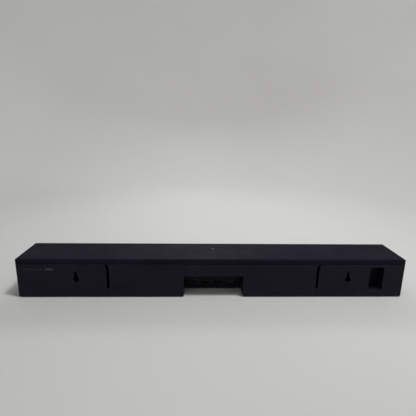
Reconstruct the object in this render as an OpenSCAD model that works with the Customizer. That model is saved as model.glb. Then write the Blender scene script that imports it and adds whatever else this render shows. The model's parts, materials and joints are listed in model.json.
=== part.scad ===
// Compact two-channel soundbar, front towards -Y, connectors towards +Y, standing on rubber feet.

/* [Cabinet] */
// Overall width
body_w = 650; // [600:1:800]
// Overall depth, front to back
body_d = 78.5; // [76:0.5:100]
// Height of the cabinet above its feet
body_h = 67; // [67:0.5:85]
// Thickness of the plastic walls
wall = 2.5; // [2:0.1:3]
// Radius of the long top edges
edge_r = 2.5; // [1:0.1:4]
// Radius of the upright corners and the lower rear corners
corner_r = 2.4; // [1:0.1:4]
// Height of the top cover's skirt
skirt_h = 7.8; // [6:0.1:12]
// Open seam between two cabinet pieces
seam = 0.9; // [0.4:0.1:1.2]
// Gap between pieces that are fitted together
fit = 0.2; // [0.1:0.05:0.3]

/* [Feet] */
// How far the rubber feet stand below the cabinet
foot_h = 1.5; // [1:0.1:4]
// Length of a foot
foot_l = 56; // [30:1:70]
// Width of a foot
foot_w = 10; // [6:0.5:14]
// Distance from the middle of the bar to the middle of a foot
foot_x = 184; // [150:1:240]

/* [Rear connector bay] */
// Width of the bay
bay_w = 100; // [96:1:120]
// Height of the bay above the cabinet's lower edge
bay_h = 36.4; // [34:0.1:40]
// Depth of the bay from the rear face to its back wall
bay_d = 30.2; // [20:0.1:34]
// Radius of the flare at the bay's lower corners
bay_flare = 3; // [1:0.1:5]

/* [Wall hanging] */
// Distance between the two keyholes
keyhole_pitch = 457.2; // [440:0.1:480]
// Diameter of the keyhole's round part
keyhole_d = 10; // [8:0.1:12]
// Width of the keyhole's upper slot
keyhole_slot_w = 5; // [3.5:0.1:6]
// Height of the round part's centre above the cabinet's lower edge
keyhole_z = 31; // [26:0.5:36]
// How far the slot reaches above that centre
keyhole_rise = 13; // [10:0.5:16]

/* [Power inlet recess] */
// Distance from the middle of the bar to the middle of the recess
inlet_x = 277.3; // [262:0.1:286]
// Width of the recess
inlet_w = 24; // [22:0.5:28]
// Height of the recess's sill above the cabinet's lower edge
inlet_z0 = 13; // [10:0.5:16]
// Height of the recess's top above the cabinet's lower edge
inlet_z1 = 53; // [48:0.5:55]
// Depth of the recess
inlet_d = 22; // [18:0.5:24]

/* [Bass reflex slots] */
// Distance from the middle of the bar to a slot
slot_x = 176; // [170:0.5:190]
// Width of a slot
slot_w = 4.4; // [3:0.1:6]
// Height of a slot's lower end above the cabinet's lower edge
slot_z0 = 14; // [10:0.5:20]
// How far the slot's top bends outwards
slot_bend = 2.6; // [0:0.1:4]
// Depth of the short groove that slants down and outwards from the slot's top
hook_depth = 0.7; // [0.3:0.1:1.2]

/* [Buttons] */
// Diameter of a button cap
button_d = 11; // [8:0.5:14]
// Open ring around a button cap
button_gap = 0.3; // [0.2:0.05:0.6]
// Distance between two buttons in the row
button_pitch = 32; // [26:1:36]
// Distance of the row behind the middle of the bar
button_row_y = 23.7; // [18:0.1:26]
// Distance of the power button in front of the middle of the bar
power_y = 12.5; // [6:0.5:16]
// Travel of a button
button_travel = 0.6; // [0.3:0.1:0.8]

/* [Speakers] */
// Distance from the middle of the bar to a speaker
speaker_x = 150; // [146:1:156]
// Outer radius of the speaker's mounting flange
flange_r = 30.3; // [30:0.1:30.5]
// Radius of the opening in the baffle
mouth_r = 26.6; // [25.5:0.1:27]
// Outer radius of the cone
cone_r = 21; // [19:0.5:22]

/* [Hidden] */
$fn = 48;
eps = 0.01;
LEFT = -1;
RIGHT = 1;

// Cabinet planes
base_z = foot_h;
top_z = base_z + body_h;
seam_z = top_z - skirt_h;
panel_top = seam_z - seam;
ceiling_z = top_z - wall;
floor_z = base_z + wall;
rear_y = body_d / 2;
front_y = -body_d / 2;
rear_in = rear_y - wall;
end_x = body_w / 2;
end_in = end_x - wall;

// Grille, cloth and baffle, one behind the other
grille_t = 1;
grille_d = 2.4;
cloth_t = 0.4;
baffle_y = front_y + wall + fit;
baffle_t = 3;
baffle_back = baffle_y + baffle_t;

// Lap that closes a seam from the inside
lap_t = 1.3;
lap_up = 4;
lap_down = 5;

// Inner partitions: around the connector bay, and outside each speaker
rib_t = 2;
rib_x = [100, 212];
wire_hole_d = 7;
wire_hole_z = floor_z + 5;
wire_hole_y = 3;

// Connector bay
bay_wall = 2;
bay_back = rear_y - bay_d;
bay_top = base_z + bay_h;
plate_t = 1;
socket_y = bay_back + plate_t;

// Inlet recess and the mains inlet in its ceiling
inlet_r = 2;
inlet_floor = base_z + inlet_z0;
inlet_top = base_z + inlet_z1;
inlet_back = rear_y - inlet_d;
inlet_y = rear_y - inlet_d / 2 - 1;
inlet_wall = 1.6;
inlet_flange_t = 1.2;
inlet_h = 10.4;
inlet_body_w = 17;
inlet_body_d = 10.5;
pin_pitch = 6.6;
pin_r = 1.2;
pin_l = 8.5;
scoop_r = 4.5;

// Reflex slots and the ducts behind them
slot_top = panel_top - 1.1;
slot_curve_h = 10;
hook_l = 8.4;
hook_w = 1.7;
hook_slant = -51;
duct_x0 = slot_x + 1;
duct_wall = 1.6;
duct_in = 8.4;
duct_front = 13;
duct_gap = 0.8;

// Keyhole plates
keyplate_t = 1.2;
keyplate_w = 26;
keyplate_h = 30;
keyplate_lift = 3;

// Seats of the rubber feet in the bottom panel
foot_seat = 0.8;
foot_corner = 3;
foot_inset = 4.5;

// Case screws and their towers, given for the right half
tower_r = 3.6;
towers = [[108, 26], [108, -26], [218, -26], [252, 27.5], [314, 27.5], [314, -26]];
pilot_r = 1.3;
case_screw_l = 12;
screw_r = 1.5;
screw_head_r = 2.8;
screw_head_t = 1.6;
head_sink = 0.2;
drill = 0.15;
socket_wall = 1.2;
socket_rise = 3;

// Circuit boards: thickness, and how far the screws stand in from the corners
board_t = 1.6;
screw_inset = 4;

// Buttons, switches and the board that carries them
buttons = [
    [0, -power_y],
    [-1.5 * button_pitch, button_row_y],
    [-0.5 * button_pitch, button_row_y],
    [0.5 * button_pitch, button_row_y],
    [1.5 * button_pitch, button_row_y]
];
button_sink = 0.2;
button_flange = 1.2;
button_foot_z = ceiling_z - 1.3;
stem_l = 2.5;
stem_r = 2;
plunger_z = button_foot_z - stem_l;
plunger_r = 1.6;
plunger_l = 2.7;
plunger_out = 1.2;
plunger_slack = 0.1;
switch_w = 6;
switch_h = 3.5;
switch_top = plunger_z - plunger_out;
switch_board_z = switch_top - switch_h - board_t;
switch_board_w = 130;
switch_board_y0 = -20;
switch_board_y1 = 31;
switch_post_r = 2.6;
switch_screw_r = 0.9;
symbol_depth = 0.4;

// Circuit boards
board_z = floor_z + 4;
main_board_w = 160;
main_board_y0 = -30;
main_board_y1 = bay_back - bay_wall - 1.5 * fit;
power_board_x0 = -306;
power_board_x1 = -224;
power_board_y0 = -30;
power_board_y1 = inlet_back - inlet_wall - 3;
standoff_r = 3.2;
board_screw_r = 1.1;
board_hole_r = 1.6;

// Sockets on the main board: place along X, width and height of each
socket_z = board_z + board_t;
optical_x = -32;
optical_w = 11;
optical_h = 11;
optical_l = 15;
hdmi_x = -9;
hdmi_w = 15;
hdmi_h = 5.6;
hdmi_l = 11;
hdmi_chamfer = 2;
usb_x = 13;
usb_w = 13.2;
usb_h = 5.8;
usb_l = 13;
shell_t = 0.5;
shell_lift = 1;
aux_x = 33;
aux_r = 3.9;
aux_z = 5;
aux_l = 14;
aux_bore_r = 1.8;
aux_bore_l = 12;

// The optical socket's mouth and the shutter that hangs in it
mouth_w = 8.4;
mouth_d = 9.6;
mouth_z = socket_z + 1.3;
flap_w = 7.6;
flap_h = 7.4;
flap_t = 0.8;
flap_pin_r = 0.5;
flap_pin_play = 0.05;
flap_y = socket_y - 1.4;
flap_z = mouth_z + mouth_w - 0.9;

// Remote control window in the middle of the baffle
window_w = 24;
window_h = 9;
window_r = 2;

// Speaker planes, measured backwards from the baffle's inner face
speaker_z = (floor_z + ceiling_z) / 2;
speaker_screw_r = flange_r - 2;
speaker_screw_angles = [45, 135, 225, 315];
gasket_t = 0.8;
flange_t = 2;
rim_r = 25.4;
basket_t = 1.4;
ledge_back = 12;
basket_back = 16.2;
basket_r = 19;
cone_front = 1.6;
cone_neck = 9.4;
cone_t = 0.5;
former_back = 21;
former_in = 6.5;
former_out = 6.9;
dome_r = 8;
dome_rise = 3.2;
dome_t = 0.4;
top_plate_t = 3;
magnet_t = 10;
magnet_in = 11;
magnet_r = 22;
yoke_t = 3;
pole_r = 6.1;
gap_r = 7.4;

// ---------- shared shapes ----------

// A block given by its lowest and highest corners
module block(low, high) {
    translate(low) cube([for (i = [0:2]) high[i] - low[i]]);
}

// A flat outline in X and Z, extruded from one Y to another
module along_y(y0, y1) {
    translate([0, y1, 0]) rotate([90, 0, 0]) linear_extrude(y1 - y0) children();
}

// A rectangle with its four corners rounded by arcs
module round_rect(w, h, r) {
    union() {
        square([w - 2 * r, h], center = true);
        square([w, h - 2 * r], center = true);
        for (x = [-1, 1], y = [-1, 1]) {
            translate([x * (w / 2 - r), y * (h / 2 - r)]) circle(r);
        }
    }
}

// The cabinet's outer outline seen from above
module plan_outline() {
    round_rect(body_w, body_d, corner_r);
}

// A rectangle standing on a line, with only its two upper corners rounded
module arched(w, h, r) {
    union() {
        translate([-w / 2, 0]) square([w, h - r]);
        translate([-w / 2 + r, 0]) square([w - 2 * r, h]);
        for (x = [-1, 1]) translate([x * (w / 2 - r), h - r]) circle(r);
    }
}

// A keyhole with its round part at the origin and its slot upwards
module keyhole_2d() {
    union() {
        circle(keyhole_d / 2);
        translate([-keyhole_slot_w / 2, 0]) square([keyhole_slot_w, keyhole_rise - keyhole_slot_w / 2]);
        translate([0, keyhole_rise - keyhole_slot_w / 2]) circle(keyhole_slot_w / 2);
    }
}

// A pan-head screw with its point up +Z, its head's top at z = 0
module screw(length, r = screw_r, head_r = screw_head_r, head_t = screw_head_t) {
    cross_w = 0.6;
    cross_d = 0.9;
    difference() {
        union() {
            cylinder(h = head_t, r = head_r);
            cylinder(h = head_t + length, r = r);
        }
        for (a = [0, 90]) rotate(a) translate([-head_r * 0.6, -cross_w / 2, -eps])
            cube([head_r * 1.2, cross_w, cross_d]);
    }
}

// Screw places of the button board
function switch_posts() = [
    for (x = [-1, 1], y = [switch_board_y0 + screw_inset, switch_board_y1 - screw_inset])
        [x * (switch_board_w / 2 - screw_inset), y]
];

// Screw places of the connector plate, along X and Z
function plate_screws() = [for (x = [-1, 1]) [x * (bay_w / 2 - 8), bay_top - 8]];

// Middles of the four feet
function feet() = [
    for (x = [-1, 1], y = [-1, 1]) [x * foot_x, y * (body_d / 2 - foot_w / 2 - foot_inset)]
];

// Screw places of the main board and the power board
function board_posts() = concat(
    [for (x = [-1, 1], y = [main_board_y0 + screw_inset, main_board_y1 - screw_inset])
        [x * (main_board_w / 2 - screw_inset), y]],
    [for (x = [power_board_x0 + screw_inset, power_board_x1 - screw_inset],
        y = [power_board_y0 + screw_inset, power_board_y1 - screw_inset]) [x, y]]
);

// A tube along a chain of points, with eight sides
module lead(points, r, up = [0.3, 1, 0.2]) {
    n = len(points);
    sides = 8;
    tangents = [for (i = [0:n - 1]) points[min(i + 1, n - 1)] - points[max(i - 1, 0)]];
    rings = [
        for (i = [0:n - 1])
            let (side = cross(tangents[i], up))
            let (u = side / norm(side))
            let (across = cross(tangents[i], u))
            let (v = across / norm(across))
            for (k = [0:sides - 1])
                points[i] + r * (cos(k * 360 / sides) * u + sin(k * 360 / sides) * v)
    ];
    walls = [
        for (i = [0:n - 2])
            for (k = [0:sides - 1])
                let (m = (k + 1) % sides)
                [i * sides + k, i * sides + m, (i + 1) * sides + m, (i + 1) * sides + k]
    ];
    first = [for (k = [sides - 1:-1:0]) k];
    last = [for (k = [0:sides - 1]) (n - 1) * sides + k];
    polyhedron(points = rings, faces = concat(walls, [first], [last]));
}

// ---------- cabinet ----------

module top_cover() {
    color("#2a2a33") {
        difference() {
            intersection() {
                translate([0, 0, seam_z]) linear_extrude(skirt_h) plan_outline();
                translate([0, 0, seam_z]) along_y(front_y, rear_y) arched(body_w, skirt_h, edge_r);
                rotate([0, 0, 90]) translate([0, 0, seam_z])
                    along_y(-end_x, end_x) arched(body_d, skirt_h, edge_r);
            }
            block([-end_in, front_y + wall, seam_z - 1], [end_in, rear_in, ceiling_z]);
            for (b = buttons) {
                translate([b[0], b[1], ceiling_z - 1]) cylinder(h = wall + 2, r = button_d / 2 + button_gap);
            }
        }
        // towers that the case screws bite into
        for (t = towers, s = [LEFT, RIGHT]) {
            translate([s * t[0], t[1], 0]) difference() {
                translate([0, 0, floor_z + fit]) cylinder(h = ceiling_z - floor_z - fit + eps, r = tower_r);
                translate([0, 0, floor_z]) cylinder(h = case_screw_l + 4, r = pilot_r);
            }
        }
        // posts that the button board hangs from
        for (p = switch_posts()) {
            translate([p[0], p[1], 0]) difference() {
                translate([0, 0, switch_board_z + board_t])
                    cylinder(h = ceiling_z - switch_board_z - board_t + eps, r = switch_post_r);
                translate([0, 0, switch_board_z]) cylinder(h = board_t + 5, r = switch_screw_r);
            }
        }
    }
}

// The flare that widens the bay's lower corners in the rear plate
module flare_2d() {
    difference() {
        translate([-bay_w / 2 - bay_flare, -1]) square([bay_w + 2 * bay_flare, bay_flare + 1]);
        for (x = [-1, 1]) translate([x * (bay_w / 2 + bay_flare), bay_flare]) circle(bay_flare);
    }
}

// A reflex slot seen from behind; its top bends outwards, away from the middle
module slot_2d(side) {
    z0 = base_z + slot_z0;
    straight = slot_top - slot_curve_h;
    steps = 5;
    bend = [for (i = [1:steps]) let (t = i / steps) [slot_bend * t * t, slot_curve_h * t]];
    inner = [for (b = bend) [-slot_w / 2 + b[0], straight + b[1]]];
    outer = [for (i = [steps - 1:-1:0]) [slot_w / 2 + bend[i][0], straight + bend[i][1]]];
    mirror([side < 0 ? 1 : 0, 0]) translate([slot_x, 0])
        polygon(concat(
            [[slot_w / 2, straight], [slot_w / 2, z0 + 1], [slot_w / 2 - 1, z0]],
            [[-slot_w / 2 + 1, z0], [-slot_w / 2, z0 + 1], [-slot_w / 2, straight]],
            inner, outer
        ));
}

// The short slanting groove beside a slot's top
module hook_2d(side) {
    mirror([side < 0 ? 1 : 0, 0]) translate([slot_x + slot_bend + slot_w / 2, slot_top - hook_w / 2])
        rotate(hook_slant) union() {
            translate([0, -hook_w / 2]) square([hook_l, hook_w]);
            for (x = [0, hook_l]) translate([x, 0]) circle(hook_w / 2);
        }
}

module rear_plate() {
    h = panel_top - base_z;
    intersection() {
        along_y(rear_in, rear_y) translate([0, panel_top]) mirror([0, 1]) arched(body_w, h, corner_r);
        translate([0, 0, base_z]) linear_extrude(body_h) plan_outline();
    }
}

module rear_panel() {
    lap_x = end_in - fit - lap_t;
    lap_y = rear_in - fit - lap_t;
    bay_x = bay_w / 2 + bay_wall;
    recess_x = inlet_w / 2 + inlet_wall;
    duct_x = duct_in / 2 + duct_wall + fit;
    color("#1a1a20") difference() {
        union() {
            rear_plate();
            // lap inside the top cover's skirt
            block([-lap_x, lap_y, panel_top - lap_down], [lap_x, rear_in - fit, seam_z + lap_up]);
            block([-lap_x, lap_y, panel_top - lap_down], [lap_x, rear_in + eps, panel_top]);
            // box around the connector bay
            block([-bay_x, bay_back - bay_wall, base_z], [bay_x, rear_in + eps, bay_top + bay_wall]);
            // box around the inlet recess
            block([-inlet_x - recess_x, inlet_back - inlet_wall, inlet_floor - inlet_wall],
                [-inlet_x + recess_x, rear_in + eps, inlet_top + inlet_wall]);
            // partitions
            for (s = [LEFT, RIGHT], x = rib_x) {
                block([s * x - rib_t / 2, baffle_back + fit, floor_z + fit],
                    [s * x + rib_t / 2, rear_in - fit, ceiling_z - fit]);
                block([s * x - rib_t / 2, rear_in - 1, floor_z + fit],
                    [s * x + rib_t / 2, rear_in + eps, panel_top]);
            }
        }
        // the bay itself, open behind and below
        block([-bay_w / 2, bay_back, base_z - 1], [bay_w / 2, rear_y + 1, bay_top]);
        along_y(rear_in, rear_y + 1) translate([0, base_z]) flare_2d();
        // sockets pass through the bay's back wall
        block([-bay_w / 2 + 5, bay_back - bay_wall - 1, board_z - 1],
            [bay_w / 2 - 5, bay_back + 1, board_z + 14.5]);
        // pilot holes for the connector plate's screws
        for (p = plate_screws()) translate([p[0], 0, p[1]])
            along_y(bay_back - bay_wall + fit, bay_back + 1) circle(board_screw_r + 0.05);
        // the inlet recess, and the hole in its ceiling for the inlet
        along_y(inlet_back, rear_y + 1) translate([-inlet_x, (inlet_floor + inlet_top) / 2])
            round_rect(inlet_w, inlet_top - inlet_floor, inlet_r);
        translate([-inlet_x, inlet_y, inlet_top - 1]) linear_extrude(inlet_wall + 2)
            square([inlet_body_w + 2 * fit, inlet_body_d + 2 * fit], center = true);
        // curved scoop in the sill, where a lead leaves downwards
        translate([-inlet_x, rear_y + scoop_r / 3, inlet_floor]) rotate([0, 90, 0])
            cylinder(h = inlet_w - 2 * inlet_r, r = scoop_r, center = true);
        for (s = [LEFT, RIGHT]) {
            along_y(rear_in - 1, rear_y + 1) translate([s * keyhole_pitch / 2, base_z + keyhole_z])
                keyhole_2d();
            along_y(lap_y - 1, rear_y + 1) slot_2d(s);
            along_y(rear_y - hook_depth, rear_y + 1) hook_2d(s);
            // cut in the lap behind the slot's bent top, so that the duct's inside is clear
            block([s * duct_x0 - duct_x, lap_y - 1, panel_top - lap_down - 1],
                [s * duct_x0 + duct_x, rear_in, panel_top - 0.5]);
            // lead holes through the partitions
            for (x = rib_x) {
                translate([s * x, wire_hole_y, wire_hole_z]) rotate([0, 90, 0])
                    cylinder(h = rib_t + 2, d = wire_hole_d, center = true);
            }
            // room for the screw towers that stand at the partitions and the lap
            for (t = towers) {
                translate([s * t[0], t[1], floor_z]) cylinder(h = body_h, r = tower_r + fit);
            }
        }
    }
}

module bottom_panel() {
    low = [-end_in + fit, front_y + grille_d + 2 * fit, base_z];
    high = [end_in - fit, rear_in - fit, floor_z];
    bay_x = bay_w / 2 + bay_wall + fit;
    post_h = board_z - floor_z;
    color("#17171c") difference() {
        union() {
            block(low, high);
            for (p = board_posts()) {
                translate([p[0], p[1], floor_z - eps]) cylinder(h = post_h + eps, r = standoff_r);
            }
            // rings that hold the lower ends of the screw towers
            for (t = towers, s = [LEFT, RIGHT]) {
                translate([s * t[0], t[1], floor_z - eps]) difference() {
                    cylinder(h = socket_rise, r = tower_r + socket_wall);
                    cylinder(h = socket_rise + 1, r = tower_r + fit);
                }
            }
        }
        // notch under the connector bay
        block([-bay_x, bay_back - bay_wall - fit, base_z - 1], [bay_x, rear_y, floor_z + 1]);
        for (t = towers, s = [LEFT, RIGHT]) {
            translate([s * t[0], t[1], base_z - 1]) cylinder(h = wall + 2, r = screw_r + drill);
            translate([s * t[0], t[1], base_z - 1])
                cylinder(h = 1 + screw_head_t - head_sink, r = screw_head_r + 2 * drill);
        }
        for (p = board_posts()) {
            translate([p[0], p[1], base_z + 1.2]) cylinder(h = post_h + wall, r = board_screw_r);
        }
        for (f = feet()) translate([f[0], f[1], base_z - 1]) linear_extrude(1 + foot_seat) foot_2d(fit);
    }
}

module end_cap(side) {
    lap_x = end_in - fit - lap_t;
    lap_y = baffle_back + fit;
    color("#1a1a20") mirror([side < 0 ? 1 : 0, 0, 0]) union() {
        intersection() {
            block([end_in, front_y + grille_d + fit, base_z], [end_x, rear_in - fit, panel_top]);
            along_y(front_y, rear_y) translate([0, top_z]) mirror([0, 1]) arched(body_w, body_h, corner_r);
        }
        // lap inside the bottom panel, the rear panel and the top cover's skirt
        block([lap_x, lap_y, floor_z + fit], [end_in + eps, rear_in - fit, panel_top]);
        block([lap_x, lap_y, floor_z + fit], [end_in - fit, rear_in - lap_t - 2 * fit, seam_z + lap_up]);
    }
}

module left_end_cap() {
    end_cap(LEFT);
}

module right_end_cap() {
    end_cap(RIGHT);
}

module foot_2d(gap) {
    round_rect(foot_l + 2 * gap, foot_w + 2 * gap, foot_corner);
}

module rubber_feet() {
    color("#0d0d0f") for (f = feet()) {
        translate([f[0], f[1], 0]) linear_extrude(base_z + foot_seat - fit) foot_2d(0);
    }
}

// ---------- front ----------

module front_baffle() {
    pilot = 1.25;
    skin = 0.4;
    color("#202024") difference() {
        block([-end_in + fit, baffle_y, floor_z + fit], [end_in - fit, baffle_back, ceiling_z - fit]);
        for (s = [LEFT, RIGHT]) {
            translate([s * speaker_x, 0, speaker_z]) {
                along_y(baffle_y - 1, baffle_back + 1) circle(mouth_r);
                for (a = speaker_screw_angles) {
                    rotate([0, a, 0]) translate([speaker_screw_r, baffle_back + 1, 0]) rotate([90, 0, 0])
                        cylinder(h = baffle_t - skin + 1, r = pilot);
                }
            }
        }
        along_y(baffle_y - 1, baffle_back + 1) translate([0, speaker_z])
            round_rect(window_w + 2 * fit, window_h + 2 * fit, window_r);
    }
}

module front_grille() {
    color("#111114") difference() {
        intersection() {
            block([-end_x, front_y, base_z], [end_x, front_y + grille_d, panel_top]);
            translate([0, 0, base_z]) linear_extrude(body_h) plan_outline();
        }
        block([-end_x + grille_t, front_y + grille_t, base_z + grille_t],
            [end_x - grille_t, front_y + grille_d + 1, panel_top - grille_t]);
    }
}

module grille_cloth() {
    inset = 4;
    back = baffle_y - 0.05;
    color("#0b0b0d") block([-end_in + inset, back - cloth_t, floor_z + inset],
        [end_in - inset, back, panel_top - inset]);
}

module sensor_window() {
    color("#300a10") along_y(baffle_y + 0.3, baffle_back + 1) translate([0, speaker_z])
        round_rect(window_w, window_h, window_r);
}

module sensor_board() {
    reach = 4;
    y0 = baffle_back + reach;
    color("#14532d") {
        block([-20, y0, speaker_z - 9], [20, y0 + board_t, speaker_z + 9]);
        translate([0, y0 + eps, speaker_z]) {
            // receiver dome and three indicator lamps that face the window
            translate([-6, 0, 0]) rotate([90, 0, 0]) cylinder(h = 2.6, r = 2.5);
            for (x = [3, 7, 11]) translate([x, 0, 0]) rotate([90, 0, 0]) cylinder(h = 2, r = 1);
            // two posts that reach the baffle
            for (x = [-16, 16]) translate([x, 0, 0]) rotate([90, 0, 0]) cylinder(h = reach - 0.1, r = 2);
        }
    }
}

// ---------- rear ----------

module keyhole_plates() {
    color("#8d9096") for (s = [LEFT, RIGHT]) {
        translate([s * keyhole_pitch / 2, 0, base_z + keyhole_z]) difference() {
            along_y(rear_in - keyplate_t, rear_in) translate([0, keyplate_lift])
                round_rect(keyplate_w, keyplate_h, 2);
            along_y(rear_in - keyplate_t - 1, rear_in + 1) keyhole_2d();
        }
    }
}

module port_ducts() {
    z0 = base_z + slot_z0 - duct_wall;
    z1 = panel_top - duct_gap;
    half = duct_in / 2;
    color("#101014") for (s = [LEFT, RIGHT]) {
        translate([s * duct_x0, 0, 0]) difference() {
            block([-half - duct_wall, duct_front, z0 - duct_wall], [half + duct_wall, rear_in, z1]);
            block([-half, duct_front - 1, z0], [half, rear_in + 1, z1 - duct_wall]);
        }
    }
}

module figure_eight() {
    union() {
        for (x = [-1, 1]) translate([x * pin_pitch / 2, 0]) circle(3.6);
        square([pin_pitch, 6.2], center = true);
    }
}

module power_inlet() {
    rim = 1.3;
    color("#08080a") translate([-inlet_x, inlet_y, inlet_top]) difference() {
        union() {
            translate([0, 0, -inlet_flange_t]) linear_extrude(inlet_flange_t)
                round_rect(inlet_body_w + 2 * rim, inlet_body_d + 2 * rim, 1.5);
            translate([0, 0, -eps]) linear_extrude(inlet_h + eps)
                round_rect(inlet_body_w, inlet_body_d, 1.5);
        }
        translate([0, 0, -inlet_flange_t - 1]) linear_extrude(pin_l + 2) figure_eight();
        for (x = [-1, 1]) translate([x * pin_pitch / 2, 0, 0]) cylinder(h = inlet_h + 1, r = pin_r + 0.02);
    }
}

module inlet_pins() {
    tip = 0.7 - inlet_flange_t;
    color("#c9ccd1") translate([-inlet_x, inlet_y, inlet_top + tip]) for (x = [-1, 1]) {
        translate([x * pin_pitch / 2, 0, 0]) cylinder(h = inlet_h + 0.3, r = pin_r);
    }
}

module connector_plate() {
    z0 = board_z + fit;
    z1 = bay_top - 1;
    // left end, right end, lower and upper edge of each rectangular socket
    mouths = [
        [optical_x - optical_w / 2, optical_x + optical_w / 2, 0, socket_z + optical_h],
        [hdmi_x - hdmi_w / 2, hdmi_x + hdmi_w / 2, socket_z + shell_lift, socket_z + shell_lift + hdmi_h],
        [usb_x - usb_w / 2, usb_x + usb_w / 2, socket_z + shell_lift, socket_z + shell_lift + usb_h]
    ];
    color("#1b1b1f") difference() {
        along_y(bay_back, socket_y) translate([0, (z0 + z1) / 2]) round_rect(bay_w - 1, z1 - z0, 1);
        for (m = mouths) {
            block([m[0] - fit, bay_back - 1, m[2] - fit], [m[1] + fit, socket_y + 1, m[3] + fit]);
        }
        translate([aux_x, 0, socket_z + aux_z]) along_y(bay_back - 1, socket_y + 1) circle(aux_r + fit);
        for (p = plate_screws()) {
            translate([p[0], 0, p[1]]) along_y(bay_back - 1, socket_y + 1) circle(board_screw_r + 0.3);
        }
    }
}

module optical_port() {
    color("#0a0a0c") translate([optical_x, 0, 0]) difference() {
        block([-optical_w / 2, socket_y - optical_l, socket_z],
            [optical_w / 2, socket_y, socket_z + optical_h]);
        block([-mouth_w / 2, socket_y - mouth_d, mouth_z], [mouth_w / 2, socket_y + 1, mouth_z + mouth_w]);
        translate([0, flap_y, flap_z]) rotate([0, 90, 0])
            cylinder(h = mouth_w + 1.6, r = flap_pin_r + flap_pin_play, center = true);
    }
}

module optical_shutter() {
    color("#1c1c20") translate([optical_x, flap_y, flap_z]) {
        rotate([0, 90, 0]) cylinder(h = mouth_w + 1.2, r = flap_pin_r, center = true);
        block([-flap_w / 2, -flap_t / 2, -flap_h], [flap_w / 2, flap_t / 2, 0]);
    }
}

// Outline of an HDMI shell: a rectangle whose lower corners are cut off
module hdmi_2d(w, h, chamfer) {
    polygon([
        [-w / 2, h / 2], [w / 2, h / 2], [w / 2, chamfer - h / 2],
        [w / 2 - chamfer, -h / 2], [chamfer - w / 2, -h / 2], [-w / 2, chamfer - h / 2]
    ]);
}

module hdmi_port() {
    back = socket_y - hdmi_l;
    color("#b9bcc2") translate([hdmi_x, 0, socket_z + shell_lift + hdmi_h / 2]) {
        difference() {
            along_y(back, socket_y) hdmi_2d(hdmi_w, hdmi_h, hdmi_chamfer);
            along_y(back + 1.5, socket_y + 1)
                hdmi_2d(hdmi_w - 2 * shell_t, hdmi_h - 2 * shell_t, hdmi_chamfer - 0.3);
        }
        // tongue, and the two legs that are soldered to the board
        block([-5.2, back + 1, -0.6], [5.2, socket_y - 2, 0.6]);
        for (x = [-6, 6]) {
            block([x - 1, back + 1, -hdmi_h / 2 - shell_lift], [x + 1, back + 3, hdmi_h / 2 - 0.2]);
        }
    }
}

module usb_port() {
    back = socket_y - usb_l;
    color("#b9bcc2") translate([usb_x, 0, socket_z + shell_lift + usb_h / 2]) {
        difference() {
            along_y(back, socket_y) square([usb_w, usb_h], center = true);
            along_y(back + 1.5, socket_y + 1)
                square([usb_w - 2 * shell_t, usb_h - 2 * shell_t], center = true);
        }
        // tongue, and the two legs that are soldered to the board
        block([-5.6, back + 1, 0.4], [5.6, socket_y - 1.5, 2]);
        for (x = [-5, 5]) {
            block([x - 1, back + 1, -usb_h / 2 - shell_lift], [x + 1, back + 3, 0.4 - usb_h / 2]);
        }
    }
}

module aux_jack() {
    neck = bay_back - 1;
    color("#131316") translate([aux_x, 0, socket_z]) difference() {
        union() {
            block([-4, socket_y - aux_l, 0], [4, neck, 2 * aux_z]);
            translate([0, 0, aux_z]) along_y(neck - eps, socket_y) circle(aux_r);
        }
        translate([0, 0, aux_z]) along_y(socket_y - aux_bore_l, socket_y + 1) circle(aux_bore_r);
    }
}

// ---------- controls ----------

// The sign on a cap's face, sunk as a groove
module symbol_2d(kind) {
    if (kind == "power") {
        union() {
            difference() {
                circle(2.4);
                circle(1.7);
                translate([-0.9, 0.4]) square([1.8, 3]);
            }
            translate([-0.35, 0.6]) square([0.7, 2.6]);
        }
    }
    if (kind == "minus" || kind == "plus") translate([-2.6, -0.5]) square([5.2, 1]);
    if (kind == "plus") translate([-0.5, -2.6]) square([1, 5.2]);
    if (kind == "source") {
        difference() {
            translate([-2.6, -2]) square([5.2, 4]);
            translate([-1.9, -1.3]) square([3.8, 2.6]);
            translate([-3, -0.6]) square([1.2, 1.2]);
        }
        polygon([[-3.4, 0.35], [-0.9, 0.35], [-0.9, 1], [0.5, 0], [-0.9, -1], [-0.9, -0.35], [-3.4, -0.35]]);
    }
    if (kind == "wireless") {
        for (r = [1.1, 2.5]) difference() {
            circle(r);
            circle(r - 0.6);
            translate([-3, -3]) square([3.4, 6]);
        }
        translate([-1.4, 0]) circle(0.7);
    }
}

module button(place, kind) {
    cap_top = top_z - button_sink;
    color("#23232b") translate([place[0], place[1], 0]) difference() {
        union() {
            translate([0, 0, button_foot_z]) cylinder(h = cap_top - button_foot_z, r = button_d / 2);
            translate([0, 0, button_foot_z]) cylinder(h = 1, r = button_d / 2 + button_flange);
            translate([0, 0, plunger_z]) cylinder(h = stem_l + eps, r = stem_r);
        }
        translate([0, 0, cap_top - symbol_depth]) linear_extrude(1) symbol_2d(kind);
    }
}

module power_button() {
    button(buttons[0], "power");
}

module source_button() {
    button(buttons[1], "source");
}

module bluetooth_button() {
    button(buttons[2], "wireless");
}

module volume_down_button() {
    button(buttons[3], "minus");
}

module volume_up_button() {
    button(buttons[4], "plus");
}

module plunger(place) {
    color("#e8e4da") translate([place[0], place[1], plunger_z - plunger_l])
        cylinder(h = plunger_l, r = plunger_r);
}

module power_plunger() {
    plunger(buttons[0]);
}

module source_plunger() {
    plunger(buttons[1]);
}

module bluetooth_plunger() {
    plunger(buttons[2]);
}

module volume_down_plunger() {
    plunger(buttons[3]);
}

module volume_up_plunger() {
    plunger(buttons[4]);
}

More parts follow.
